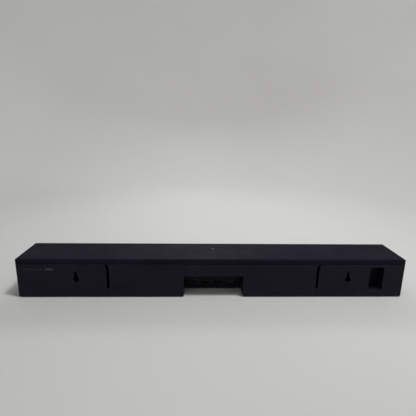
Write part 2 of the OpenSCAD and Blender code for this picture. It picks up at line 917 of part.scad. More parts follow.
module tact_switches() {
    // the well is deep enough for the plunger's travel
    well = plunger_l - plunger_out + button_travel + 0.3;
    color("#101010") for (b = buttons) {
        translate([b[0], b[1], switch_top - switch_h]) difference() {
            translate([-switch_w / 2, -switch_w / 2, 0]) cube([switch_w, switch_w, switch_h]);
            translate([0, 0, switch_h - well]) cylinder(h = switch_h, r = plunger_r + plunger_slack);
        }
    }
}

module button_board() {
    color("#14532d") difference() {
        block([-switch_board_w / 2, switch_board_y0, switch_board_z],
            [switch_board_w / 2, switch_board_y1, switch_board_z + board_t]);
        for (p = switch_posts()) {
            translate([p[0], p[1], switch_board_z - 1]) cylinder(h = board_t + 2, r = switch_screw_r + 0.4);
        }
    }
}

// ---------- speakers ----------

// Places a shape turned about its own Z so that Z points backwards from the baffle's inner face
module at_speaker(side) {
    translate([side * speaker_x, baffle_back, speaker_z]) rotate([-90, 0, 0]) children();
}

module ring(z0, z1, r_in, r_out) {
    translate([0, 0, z0]) difference() {
        cylinder(h = z1 - z0, r = r_out);
        translate([0, 0, -1]) cylinder(h = z1 - z0 + 2, r = r_in);
    }
}

module basket(side) {
    shell_r = basket_r - basket_t;
    flange_back = gasket_t + flange_t;
    color("#3c3f45") at_speaker(side) difference() {
        rotate_extrude() polygon([
            [rim_r, gasket_t], [flange_r, gasket_t], [flange_r, flange_back], [rim_r + 0.8, flange_back],
            [basket_r + 2, ledge_back], [basket_r, ledge_back + 1.2], [basket_r, basket_back],
            [gap_r + 1, basket_back], [gap_r + 1, basket_back - 1.2], [shell_r, basket_back - 1.2],
            [shell_r, ledge_back], [shell_r + 2, ledge_back], [rim_r, flange_back]
        ]);
        // four windows behind the cone
        for (a = [0:90:270]) rotate(a) translate([15, -6, 4.5]) cube([20, 12, 6]);
        for (a = speaker_screw_angles) rotate(a) translate([speaker_screw_r, 0, 0]) cylinder(h = 5, r = 1.45);
    }
}

module left_basket() {
    basket(LEFT);
}

module right_basket() {
    basket(RIGHT);
}

module cone(side) {
    neck_r = former_out + 0.6;
    color("#26262a") at_speaker(side) rotate_extrude() polygon([
        [former_out, cone_neck], [cone_r - 0.8, cone_front], [cone_r, cone_front],
        [cone_r, cone_front + cone_t], [cone_r - 0.6, cone_front + cone_t],
        [neck_r, cone_neck + cone_t], [neck_r, cone_neck + 1.2], [former_out, cone_neck + 1.2]
    ]);
}

module left_cone() {
    cone(LEFT);
}

module right_cone() {
    cone(RIGHT);
}

module dust_cap(side) {
    ball = (dome_r * dome_r + dome_rise * dome_rise) / (2 * dome_rise);
    slope = (cone_neck - cone_front) / (cone_r - 0.8 - former_out);
    crown = cone_neck - (dome_r - former_out) * slope - 0.45 - dome_rise;
    steps = 8;
    angles = [for (i = [0:steps]) asin(dome_r / ball) * i / steps];
    color("#18181b") at_speaker(side) rotate_extrude() polygon(concat(
        [for (i = [0:steps]) [ball * sin(angles[i]), crown + ball * (1 - cos(angles[i]))]],
        [for (i = [steps:-1:0])
            [(ball - dome_t) * sin(angles[i]), crown + dome_t + (ball - dome_t) * (1 - cos(angles[i]))]]
    ));
}

module left_dust_cap() {
    dust_cap(LEFT);
}

module right_dust_cap() {
    dust_cap(RIGHT);
}

module voice_coil(side) {
    color("#b06a35") at_speaker(side) ring(cone_neck + 0.1, former_back, former_in, former_out);
}

module left_voice_coil() {
    voice_coil(LEFT);
}

module right_voice_coil() {
    voice_coil(RIGHT);
}

module surround(side) {
    outer = rim_r - 0.05;
    inner = cone_r + 0.05;
    roll_r = (rim_r - cone_r - 0.6) / 2;
    mid = (rim_r + cone_r + 0.2) / 2;
    roll_t = 0.5;
    front = cone_front;
    back = cone_front + roll_t;
    steps = 10;
    color("#0c0c0e") at_speaker(side) rotate_extrude() polygon(concat(
        [[inner, back], [inner, front]],
        [for (i = [0:steps]) let (a = 180 - i * 180 / steps)
            [mid + roll_r * cos(a), front - roll_r * sin(a)]],
        [[outer, front], [outer, back]],
        [for (i = [0:steps]) let (a = i * 180 / steps)
            [mid + (roll_r - roll_t) * cos(a), back - (roll_r - roll_t) * sin(a)]]
    ));
}

module left_surround() {
    surround(LEFT);
}

module right_surround() {
    surround(RIGHT);
}

module spider(side) {
    inner = former_out + 0.05;
    outer = basket_r + 0.5;
    flat_r = 17;
    front = ledge_back - 0.8;
    t = 0.5;
    steps = 24;
    function wave(i) = 0.5 * sin(i * 360 * 4 / steps);
    function r(i) = inner + (flat_r - inner) * i / steps;
    color("#a5864a") at_speaker(side) rotate_extrude() polygon(concat(
        [for (i = [0:steps]) [r(i), front + wave(i)]],
        [[outer, ledge_back - 0.6], [outer, ledge_back - 0.05], [flat_r, ledge_back - 0.05]],
        [for (i = [steps:-1:0]) [r(i), front + t + wave(i)]]
    ));
}

module left_spider() {
    spider(LEFT);
}

module right_spider() {
    spider(RIGHT);
}

module speaker_gaskets() {
    color("#1b1b1b") for (s = [LEFT, RIGHT]) at_speaker(s) difference() {
        ring(0, gasket_t, mouth_r - 0.8, flange_r);
        for (a = speaker_screw_angles) rotate(a) translate([speaker_screw_r, 0, -1])
            cylinder(h = gasket_t + 2, r = 1.45);
    }
}

module speaker_top_plates() {
    color("#7d8188") for (s = [LEFT, RIGHT]) at_speaker(s)
        ring(basket_back, basket_back + top_plate_t, gap_r, basket_r);
}

module speaker_magnets() {
    z0 = basket_back + top_plate_t;
    color("#2b2b2e") for (s = [LEFT, RIGHT]) at_speaker(s) ring(z0, z0 + magnet_t, magnet_in, magnet_r);
}

module speaker_yokes() {
    z0 = basket_back + top_plate_t + magnet_t;
    color("#7d8188") for (s = [LEFT, RIGHT]) at_speaker(s) {
        translate([0, 0, z0]) cylinder(h = yoke_t, r = magnet_r - 1);
        translate([0, 0, basket_back - 0.4]) cylinder(h = z0 - basket_back + 0.5, r = pole_r);
    }
}

// ---------- electronics ----------

module drilled_board(low, high) {
    difference() {
        block(low, high);
        for (p = board_posts()) {
            translate([p[0], p[1], low[2] - 1]) cylinder(h = board_t + 2, r = board_hole_r);
        }
    }
}

module main_board() {
    color("#14532d") drilled_board([-main_board_w / 2, main_board_y0, board_z],
        [main_board_w / 2, main_board_y1, board_z + board_t]);
}

module board_chips() {
    // centre, width, depth and height of the processor, memory, amplifier, radio module,
    // regulator and driver chips, and last the control chip on the power board
    chips = [
        [-4, -16, 14, 14, 1.4], [16, -18, 10, 6, 1.1], [52, -15, 12, 12, 1.5], [-26, -20, 15, 12, 2.2],
        [30, -10, 6, 5, 1.4], [-22, -3, 5, 4, 1.2], [70, -1, 5, 5, 1.2], [-244.5, -19, 5, 6, 1.6]
    ];
    color("#0a0a0c") for (c = chips) {
        translate([c[0] - c[2] / 2, c[1] - c[3] / 2, board_z + board_t]) cube([c[2], c[3], c[4]]);
    }
}

module heat_sink() {
    side = 26;
    plate = 2.5;
    fin_pitch = 4;
    color("#9a9da3") translate([52 - side / 2, -15 - side / 2, board_z + board_t + 1.5]) {
        cube([side, side, plate]);
        for (i = [0:6]) translate([i * fin_pitch, 0, plate - eps]) cube([fin_pitch / 2, side, 11]);
    }
}

module capacitors() {
    // place, radius and height of each can
    cans = concat(
        [for (p = [[70.5, -18], [70.5, -9], [24, -26], [-44, -12], [-56, -12], [-56, -24], [-44, -24]])
            [p[0], p[1], 3.2, 11]],
        [[-257, -14, 8, 25], [-236, -19, 4, 16], [-236, -7, 4, 16]]
    );
    color("#20242e") for (c = cans) {
        translate([c[0], c[1], board_z + board_t]) cylinder(h = c[3], r = c[2]);
    }
}

module power_board() {
    color("#7a6a2c") drilled_board([power_board_x0, power_board_y0, board_z],
        [power_board_x1, power_board_y1, board_z + board_t]);
}

module transformer() {
    core = [24, 22, 3];
    wound_h = 16;
    color("#c9a227") translate([-283, -12, board_z + board_t]) {
        for (z = [0, wound_h + core[2] - eps]) translate([-core[0] / 2, -core[1] / 2, z]) cube(core);
        translate([-9, -8, core[2] - eps]) cube([18, 16, wound_h]);
        translate([-core[0] / 2, -4, 6]) cube([core[0], 8, 15]);
    }
}

// ---------- fasteners and leads ----------

module case_screws() {
    color("#5b5e63") for (t = towers, s = [LEFT, RIGHT]) {
        translate([s * t[0], t[1], base_z - head_sink]) screw(case_screw_l, r = pilot_r - 0.05);
    }
}

module speaker_screws() {
    color("#5b5e63") for (s = [LEFT, RIGHT]) at_speaker(s) for (a = speaker_screw_angles) {
        rotate(a) translate([speaker_screw_r, 0, gasket_t + flange_t + screw_head_t]) rotate([180, 0, 0])
            screw(5, r = 1.2, head_r = 1.9);
    }
}

module board_screws() {
    color("#5b5e63") {
        for (p = board_posts()) {
            translate([p[0], p[1], board_z + board_t + screw_head_t]) rotate([180, 0, 0])
                screw(5, r = board_screw_r, head_r = 2.4);
        }
        for (p = switch_posts()) {
            translate([p[0], p[1], switch_board_z - screw_head_t]) screw(5, r = switch_screw_r, head_r = 2);
        }
        for (p = plate_screws()) {
            translate([p[0], socket_y + screw_head_t, p[1]]) rotate([90, 0, 0])
                screw(2.6, r = board_screw_r, head_r = 2.2);
        }
    }
}

// Hand-chosen points along the leads that stay inside the cabinet, in heights above the floor plate
mains_live = [
    [-280.6, 21.9, 57], [-280.8, 19, 57], [-283, 15, 56.5], [-289, 12, 53], [-296, 10, 46],
    [-298, 6, 34], [-298, 2, 20], [-298, 0, 10], [-298, 0, 5.6]
];
mains_neutral = [
    [-274, 21.9, 57], [-274.2, 19, 57], [-276, 15, 56.5], [-280, 12, 53], [-286, 9, 46],
    [-290, 6, 34], [-291, 4, 20], [-291, 3, 10], [-291, 3, 5.6]
];
supply_route = [
    [-229, -2, 5.6], [-229, -2, 9], [-226, 1, 10.5], [-220, 4.2, 7], [-212, 4.6, 4.9],
    [-200, 5, 4.3], [-150, 6, 4], [-112, 5, 4.3], [-100, 4.6, 4.9], [-90, 4, 7],
    [-82, 0, 10.5], [-76, -7, 9.5], [-76, -7, 5.6]
];
right_lead = [
    [77, -12, 5.6], [77, -12, 9], [80, -8, 10.5], [86, -2, 9], [94, 1.4, 5.6],
    [106, 1.4, 5.2], [120, -4, 3.5], [135, -14, 3.5], [146, -19, 4], [150, -19, 7.5], [150, -19, 11.9]
];
left_lead = [
    [-77, -14, 5.6], [-77, -14, 9], [-80, -10, 10], [-86, -4, 8.5], [-94, 1.2, 5.6],
    [-106, 1.2, 5.2], [-120, -4, 3.5], [-135, -14, 3.5], [-146, -19, 4], [-150, -19, 7.5], [-150, -19, 11.9]
];

module power_leads() {
    color("#1d4e9e") translate([0, 0, floor_z]) {
        lead(mains_live, 1.1);
        lead(mains_neutral, 1.1);
        lead(supply_route, 1.3);
    }
}

module speaker_leads() {
    color("#a01818") translate([0, 0, floor_z]) {
        lead(right_lead, 1);
        lead(left_lead, 1);
    }
}

top_cover();
rear_panel();
bottom_panel();
left_end_cap();
right_end_cap();
front_baffle();
front_grille();
grille_cloth();
rubber_feet();
keyhole_plates();
port_ducts();
power_inlet();
inlet_pins();
connector_plate();
optical_port();
optical_shutter();
hdmi_port();
usb_port();
aux_jack();
power_button();
source_button();
bluetooth_button();
volume_down_button();
volume_up_button();
power_plunger();
source_plunger();
bluetooth_plunger();
volume_down_plunger();
volume_up_plunger();
tact_switches();
button_board();
left_basket();
right_basket();
left_cone();
right_cone();
left_dust_cap();
right_dust_cap();
left_voice_coil();
right_voice_coil();
left_surround();
right_surround();
left_spider();
right_spider();
speaker_magnets();
speaker_top_plates();
speaker_yokes();
speaker_gaskets();
sensor_window();
sensor_board();
main_board();
board_chips();
heat_sink();
capacitors();
power_board();
transformer();
case_screws();
speaker_screws();
board_screws();
power_leads();
speaker_leads();
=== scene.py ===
"""The looks of a compact soundbar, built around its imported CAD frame."""
import json
import math

import bmesh
import bpy
from mathutils import Matrix, Vector


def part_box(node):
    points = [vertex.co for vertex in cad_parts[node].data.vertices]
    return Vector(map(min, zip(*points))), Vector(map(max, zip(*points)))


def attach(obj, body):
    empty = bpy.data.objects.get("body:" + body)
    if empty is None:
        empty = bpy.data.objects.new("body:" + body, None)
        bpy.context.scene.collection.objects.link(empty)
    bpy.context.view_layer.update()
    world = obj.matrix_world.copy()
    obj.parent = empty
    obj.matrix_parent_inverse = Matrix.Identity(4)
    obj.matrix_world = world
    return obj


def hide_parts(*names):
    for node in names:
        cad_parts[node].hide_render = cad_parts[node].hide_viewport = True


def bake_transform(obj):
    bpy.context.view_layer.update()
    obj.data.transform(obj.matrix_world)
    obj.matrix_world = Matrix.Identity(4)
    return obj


MM = 0.001
WELD = 3e-6                                                  # vertices this close, in metres, are one
SENSOR_MM = 36
FOCAL_SHARE = 353 / 416                                      # focal length over the sensor's width
CAMERA_PLACE = (31, 584, 293.5)                              # in millimetres
CAMERA_YAW, CAMERA_PITCH, CAMERA_ROLL = 2.05, 14.13, 0.93    # in degrees

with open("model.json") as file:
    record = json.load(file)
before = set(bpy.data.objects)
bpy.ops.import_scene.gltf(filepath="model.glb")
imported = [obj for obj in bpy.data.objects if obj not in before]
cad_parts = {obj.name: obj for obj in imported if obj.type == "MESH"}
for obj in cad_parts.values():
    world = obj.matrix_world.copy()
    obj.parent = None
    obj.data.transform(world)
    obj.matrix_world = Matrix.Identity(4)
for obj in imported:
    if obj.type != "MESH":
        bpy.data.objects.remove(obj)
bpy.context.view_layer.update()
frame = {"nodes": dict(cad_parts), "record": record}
RECORD = frame["record"]
NODES = frame["nodes"]
BODY_OF = {n: body for body, names in RECORD["behaviour"]["bodies"].items() for n in names}
SLOT_OF = {s["node"]: s["material_slot"] for s in RECORD["subparts"]}


# ---------- camera and stage ----------

def make_camera():
    """A phone-like view from behind and above, turned a little off the bar's own axis."""
    cy, sy, cp, sp, cr, sr = (f(math.radians(a)) for a in (CAMERA_YAW, CAMERA_PITCH, CAMERA_ROLL)
                              for f in (math.cos, math.sin))
    forward = Vector((-sy * cp, -cy * cp, -sp))
    level = Vector((-cy, sy, 0))
    below = Vector((sp * sy, sp * cy, -cp))
    right = cr * level - sr * below
    down = sr * level + cr * below
    camera = bpy.data.objects.new("camera", bpy.data.cameras.new("camera"))
    camera.data.sensor_width = SENSOR_MM
    camera.data.lens = SENSOR_MM * FOCAL_SHARE
    camera.data.clip_start = 0.01
    turn = Matrix((right, -down, -forward)).transposed().to_4x4()
    camera.matrix_world = Matrix.Translation(Vector(CAMERA_PLACE) * MM) @ turn
    bpy.context.collection.objects.link(camera)
    bpy.context.scene.camera = camera


def new_mesh(name, verts, faces):
    mesh = bpy.data.meshes.new(name)
    mesh.from_pydata(verts, [], faces)
    mesh.update()
    piece = bpy.data.objects.new(name, mesh)
    bpy.context.collection.objects.link(piece)
    return piece


def from_bmesh(name, bm):
    """A new piece in the scene, made from a bmesh, which is freed."""
    mesh = bpy.data.meshes.new(name)
    bm.to_mesh(mesh)
    bm.free()
    piece = bpy.data.objects.new(name, mesh)
    bpy.context.collection.objects.link(piece)
    return piece


def apply_modifiers(piece):
    """Turns a piece's modifiers into its own mesh."""
    made = bpy.data.meshes.new_from_object(
        piece.evaluated_get(bpy.context.evaluated_depsgraph_get()))
    piece.modifiers.clear()
    piece.data = made


def make_stage():
    """A round sheet of pale paper that lies under the bar and curves up all round it."""
    flat_r, rise_r, top, turns, steps, floor_step = 0.95, 0.45, 2.3, 96, 12, 0.12
    line = [(floor_step * k, 0.0) for k in range(1, 8)] + [(flat_r, 0.0)]
    for i in range(1, steps + 1):
        a = i / steps * math.pi / 2
        line.append((flat_r + rise_r * math.sin(a), rise_r * (1 - math.cos(a))))
    line.append((flat_r + rise_r, top))
    angles = [2 * math.pi * k / turns for k in range(turns)]
    verts = [(0, 0, 0)]
    for r, z in line:
        verts += [(r * math.sin(t), r * math.cos(t), z) for t in angles]
    faces = [(0, 1 + (k + 1) % turns, 1 + k) for k in range(turns)]
    for i in range(len(line) - 1):
        near, far = 1 + i * turns, 1 + (i + 1) * turns
        for k in range(turns):
            m = (k + 1) % turns
            faces.append((near + k, near + m, far + m, far + k))
    sweep = new_mesh("paper_sweep", verts, faces)
    sweep.data.shade_smooth()
    sweep.data.materials.append(paper())


def area_light(name, place, target, size, power, color, spread=180):
    light = bpy.data.lights.new(name, "AREA")
    light.shape = "RECTANGLE"
    light.size, light.size_y = size
    light.energy = power
    light.color = color
    light.spread = math.radians(spread)
    lamp = bpy.data.objects.new(name, light)
    lamp.location = place
    lamp.visible_camera = False
    lamp.rotation_euler = (Vector(target) - Vector(place)).to_track_quat("-Z", "Y").to_euler()
    bpy.context.collection.objects.link(lamp)


def make_lights():
    """A soft key overhead, a wash on the far paper and a sheen along the cover's middle."""
    area_light("key", (-0.55, 0.36, 1.9), (0, 0.03, 0), (0.3, 0.3), 16.2, (0.97, 0.985, 1.0))
    area_light("wash", (-0.35, 0.25, 1.15), (-0.2, -0.95, 0.0), (0.9, 0.4), 1.6, (1.0, 0.95, 0.87), 120)
    area_light("sheen", (0.0, -1.0, 0.8), (0, 0.05, 0.05), (0.45, 0.25), 2.8, (0.93, 0.94, 1.0))
    world = bpy.data.worlds.new("room")
    world.use_nodes = True
    sky = world.node_tree.nodes["Background"]
    sky.inputs["Color"].default_value = (0.84, 0.88, 0.96, 1)
    sky.inputs["Strength"].default_value = 0.1
    bpy.context.scene.world = world
    bpy.context.scene.view_settings.view_transform = "Standard"


# ---------- materials ----------

class Graph:
    """A material's node tree, with short calls for the nodes used here. All textures use object space."""

    def __init__(self, name):
        self.material = bpy.data.materials.new(name)
        self.material.use_nodes = True
        self.tree = self.material.node_tree
        self.shader = self.tree.nodes["Principled BSDF"]
        self.place = self.tree.nodes.new("ShaderNodeTexCoord").outputs["Object"]

    def node(self, kind, **values):
        made = self.tree.nodes.new(kind)
        for key, value in values.items():
            setattr(made, key, value)
        return made

    def link(self, out, into):
        self.tree.links.new(out, into)

    def noise(self, scale, detail=2.0, rough=0.5, stretch=(1, 1, 1)):
        spread = self.node("ShaderNodeVectorMath", operation="MULTIPLY")
        spread.inputs[1].default_value = stretch
        self.link(self.place, spread.inputs[0])
        made = self.node("ShaderNodeTexNoise")
        made.inputs["Scale"].default_value = scale
        made.inputs["Detail"].default_value = detail
        made.inputs["Roughness"].default_value = rough
        self.link(spread.outputs[0], made.inputs["Vector"])
        return made.outputs["Fac"]

    def ramp(self, value, low, high, out_low=0.0, out_high=1.0):
        made = self.node("ShaderNodeMapRange")
        limits = {"From Min": low, "From Max": high, "To Min": out_low, "To Max": out_high}
        for name, number in limits.items():
            made.inputs[name].default_value = number
        self.link(value, made.inputs["Value"])
        return made.outputs["Result"]

    def mix(self, factor, first, second):
        made = self.node("ShaderNodeMix", data_type="RGBA")
        self.link(factor, made.inputs["Factor"])
        color_a, color_b, color_out = made.inputs[6], made.inputs[7], made.outputs[2]
        for socket, value in ((color_a, first), (color_b, second)):
            if hasattr(value, "is_linked"):
                self.link(value, socket)
            else:
                socket.default_value = (*value, 1)
        return color_out

    def bump(self, height, distance, strength=1.0):
        made = self.node("ShaderNodeBump")
        made.inputs["Distance"].default_value = distance
        made.inputs["Strength"].default_value = strength
        self.link(height, made.inputs["Height"])
        self.link(made.outputs["Normal"], self.shader.inputs["Normal"])

    def color(self, out):
        self.link(out, self.shader.inputs["Base Color"])

    def roughness(self, out):
        self.link(out, self.shader.inputs["Roughness"])

    def set(self, **values):
        for key, value in values.items():
            self.shader.inputs[key.replace("_", " ")].default_value = value


def paper():
    g = Graph("paper")
    tone = g.ramp(g.noise(1.3, 3), 0.3, 0.7)
    g.color(g.mix(tone, (0.66, 0.655, 0.64), (0.70, 0.695, 0.68)))
    g.bump(g.noise(900, 3), 0.00008, 0.4)
    g.set(Roughness=0.85, Specular_IOR_Level=0.2)
    return g.material


def grained(name, color, rough, grain=2600, depth=0.00003, spread=0.18, metallic=0.0, level=0.5):
    """Moulded plastic or coated metal: a fine spark-eroded grain over a faint unevenness of tone."""
    g = Graph(name)
    cloud = g.noise(14, 4, 0.6)
    speck = g.noise(grain * 0.7, 2)
    light = tuple(c * (1 + spread) for c in color)
    dark = tuple(c * (1 - spread) for c in color)
    base = g.mix(g.ramp(cloud, 0.3, 0.7), dark, light)
    bright = tuple(c * 1.5 for c in color)
    g.color(g.mix(g.ramp(speck, 0.55, 0.75, 0, 0.5), base, bright))
    g.roughness(g.ramp(g.noise(38, 4, 0.6), 0.3, 0.7, rough - 0.05, rough + 0.05))
    g.bump(g.noise(grain, 3, 0.6), depth)
    g.set(Metallic=metallic, Specular_IOR_Level=level, Specular_Tint=(0.82, 0.82, 1, 1))
    return g.material


def metal(name, color, rough, stretch=(1, 1, 1)):
    g = Graph(name)
    streak = g.noise(700, 4, 0.6, stretch)
    g.color(g.mix(g.ramp(g.noise(60, 3), 0.3, 0.7), tuple(c * 0.85 for c in color), color))
    g.roughness(g.ramp(streak, 0.3, 0.7, rough - 0.08, rough + 0.08))
    g.bump(streak, 0.00001, 0.5)
    g.set(Metallic=1.0)
    return g.material


def woven(name, color, pitch=0.0009):
    """Plain weave, over and under along X and Z."""
    bands_per_unit = 3.1
    g = Graph(name)
    across = g.node("ShaderNodeTexWave", wave_type="BANDS", bands_direction="X")
    along = g.node("ShaderNodeTexWave", wave_type="BANDS", bands_direction="Z")
    for wave in (across, along):
        wave.inputs["Scale"].default_value = 1 / pitch / bands_per_unit
        g.link(g.place, wave.inputs["Vector"])
    weave = g.node("ShaderNodeMath", operation="MULTIPLY")
    g.link(across.outputs["Fac"], weave.inputs[0])
    g.link(along.outputs["Fac"], weave.inputs[1])
    g.color(g.mix(weave.outputs[0], tuple(c * 0.5 for c in color), color))
    g.bump(weave.outputs[0], 0.0001)
    g.set(Roughness=0.92, Specular_IOR_Level=0.2)
    return g.material


def board(name, color, trace):
    """Circuit board: solder mask with the pale ghost of tracks and pads under it."""
    g = Graph(name)
    cells = g.node("ShaderNodeTexVoronoi", feature="DISTANCE_TO_EDGE", distance="CHEBYCHEV")
    cells.inputs["Scale"].default_value = 240
    g.link(g.place, cells.inputs["Vector"])
    g.color(g.mix(g.ramp(cells.outputs["Distance"], 0.04, 0.07), trace, color))
    g.bump(cells.outputs["Distance"], 0.00004, 0.4)
    g.set(Roughness=0.35, Coat_Weight=0.3, Coat_Roughness=0.15)
    return g.material


def glassy(name, color):
    g = Graph(name)
    g.color(g.mix(g.ramp(g.noise(30, 2), 0.3, 0.7), color, tuple(c * 1.3 for c in color)))
    g.set(Roughness=0.12, Coat_Weight=0.6, Coat_Roughness=0.05)
    return g.material


def make_materials():
    return {
        "cover_plastic": grained("cover_plastic", (0.0100, 0.0096, 0.0178), 0.57, level=0.035),
        "rear_plastic": grained("rear_plastic", (0.0080, 0.0079, 0.0135), 0.58, level=0.14),
        "base_plastic": grained("base_plastic", (0.0085, 0.0085, 0.0110), 0.6, level=0.2),
        "inner_plastic": grained("inner_plastic", (0.0060, 0.0060, 0.0070), 0.6, 1500, level=0.15),
        "button_plastic": grained("button_plastic", (0.0095, 0.0092, 0.0165), 0.58, 3200, 0.00002,
                                  level=0.04),
        "plunger_plastic": grained("plunger_plastic", (0.62, 0.60, 0.54), 0.4, 1500, 0.00001, 0.05),
        "grille_steel": grained("grille_steel", (0.0080, 0.0080, 0.0095), 0.42, 3000, 0.00002),
        "plate_steel": grained("plate_steel", (0.0040, 0.0040, 0.0046), 0.5, 2400, 0.00002, level=0.15),
        "basket_steel": grained("basket_steel", (0.0250, 0.0250, 0.0280), 0.35, 1200, 0.00003),
        "socket_plastic": grained("socket_plastic", (0.0036, 0.0036, 0.0040), 0.45, 900, 0.00001,
                                  level=0.15),
        "shutter_plastic": grained("shutter_plastic", (0.0075, 0.0075, 0.0085), 0.4, 1500, 0.00001,
                                   level=0.25),
        "chip_resin": grained("chip_resin", (0.0120, 0.0120, 0.0125), 0.5, 2500, 0.00002),
        "rubber": grained("rubber", (0.0090, 0.0090, 0.0090), 0.8, 1800, 0.00004, 0.25, level=0.3),
        "foam": grained("foam", (0.0140, 0.0140, 0.0140), 0.95, 1400, 0.0002, 0.3, level=0.1),
        "ferrite": grained("ferrite", (0.0280, 0.0280, 0.0300), 0.6, 900, 0.00005, 0.25),
        "yellow_tape": grained("yellow_tape", (0.62, 0.40, 0.03), 0.35, 300, 0.00003, 0.1),
        "capacitor_sleeve": grained("capacitor_sleeve", (0.0140, 0.0180, 0.0350), 0.25, 500, 0.00001),
        "lead_jacket": grained("lead_jacket", (0.0400, 0.0420, 0.0480), 0.45, 900, 0.00002),
        "cone_paper": grained("cone_paper", (0.0130, 0.0130, 0.0140), 0.8, 1100, 0.00008, 0.3, level=0.3),
        "spider_cloth": woven("spider_cloth", (0.42, 0.29, 0.12), 0.0008),
        "grille_cloth": woven("grille_cloth", (0.0060, 0.0060, 0.0068), 0.0007),
        "zinc_steel": metal("zinc_steel", (0.62, 0.63, 0.66), 0.38),
        "nickel": metal("nickel", (0.66, 0.65, 0.62), 0.28, (1, 8, 1)),
        "dark_nickel": metal("dark_nickel", (0.026, 0.025, 0.025), 0.4, (1, 8, 1)),
        # pale ink for the power sign: a painted highlight laid over the printed mark
        "highlight_pale_ink": grained("highlight_pale_ink", (0.24, 0.24, 0.26), 0.6, 2600, 0.00001, level=0.2),
        "dim_ink": grained("dim_ink", (0.045, 0.045, 0.051), 0.6, 2600, 0.00001, level=0.2),
        "row_ink": grained("row_ink", (0.0300, 0.0300, 0.0340), 0.6, 2600, 0.00001, level=0.1),
        "label_foil": grained("label_foil", (0.060, 0.060, 0.066), 0.45, 900, 0.00001, 0.08, level=0.4),
        "aluminium_sink": metal("aluminium_sink", (0.74, 0.75, 0.77), 0.36, (1, 12, 1)),
        "screw_steel": metal("screw_steel", (0.035, 0.035, 0.039), 0.42),
        "coil_copper": metal("coil_copper", (0.72, 0.32, 0.13), 0.3, (1, 20, 1)),
        "green_board": board("green_board", (0.008, 0.060, 0.022), (0.030, 0.150, 0.060)),
        "amber_board": board("amber_board", (0.230, 0.140, 0.035), (0.330, 0.210, 0.060)),
        "dark_window": glassy("dark_window", (0.020, 0.003, 0.005)),
    }


def finish_piece(piece, body, slot, *replaced):
    piece.data.materials.clear()
    piece.data.materials.append(MATERIALS[slot])
    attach(piece, body)
    if replaced:
        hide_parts(*replaced)


def smooth(mesh, degrees=35):
    mesh.shade_smooth()
    mesh.set_sharp_from_angle(angle=math.radians(degrees))


# ---------- pieces that follow their CAD node, with softened edges ----------

def softened(node, width, segments=2):
    """A copy of a CAD node whose flat faces are whole again and whose edges carry a small round."""
    mesh = NODES[node].data.copy()
    bm = bmesh.new()
    bm.from_mesh(mesh)
    bmesh.ops.remove_doubles(bm, verts=bm.verts, dist=WELD)
    bmesh.ops.dissolve_limit(bm, angle_limit=math.radians(0.5), verts=bm.verts, edges=bm.edges)
    bm.to_mesh(mesh)
    bm.free()
    piece = bpy.data.objects.new(node + "_shell", mesh)
    bpy.context.collection.objects.link(piece)
    bevel = piece.modifiers.new("edges", "BEVEL")
    bevel.width = width * MM
    bevel.segments = segments
    bevel.limit_method = "ANGLE"
    bevel.angle_limit = math.radians(40)
    bevel.use_clamp_overlap = True
    bevel.harden_normals = False
    smooth(mesh, 50)
    normals = piece.modifiers.new("normals", "WEIGHTED_NORMAL")
    normals.mode = "FACE_AREA"
    normals.weight = 100
    normals.keep_sharp = True
    apply_modifiers(piece)
    finish_piece(piece, BODY_OF[node], SLOT_OF[node], node)
    return piece


# the round on each node's edges, in millimetres
SOFT_EDGES = {
    "top_cover": 0.35, "rear_panel": 0.3, "bottom_panel": 0.3, "left_end_cap": 0.3, "right_end_cap": 0.3,
    "rubber_feet": 0.4, "power_inlet": 0.2, "connector_plate": 0.15, "optical_port": 0.15,
    "hdmi_port": 0.12, "usb_port": 0.12, "aux_jack": 0.15, "power_button": 0.15, "source_button": 0.15,
    "bluetooth_button": 0.15, "volume_down_button": 0.15, "volume_up_button": 0.15,
}

# ---------- the perforated grille and the cloth behind it ----------

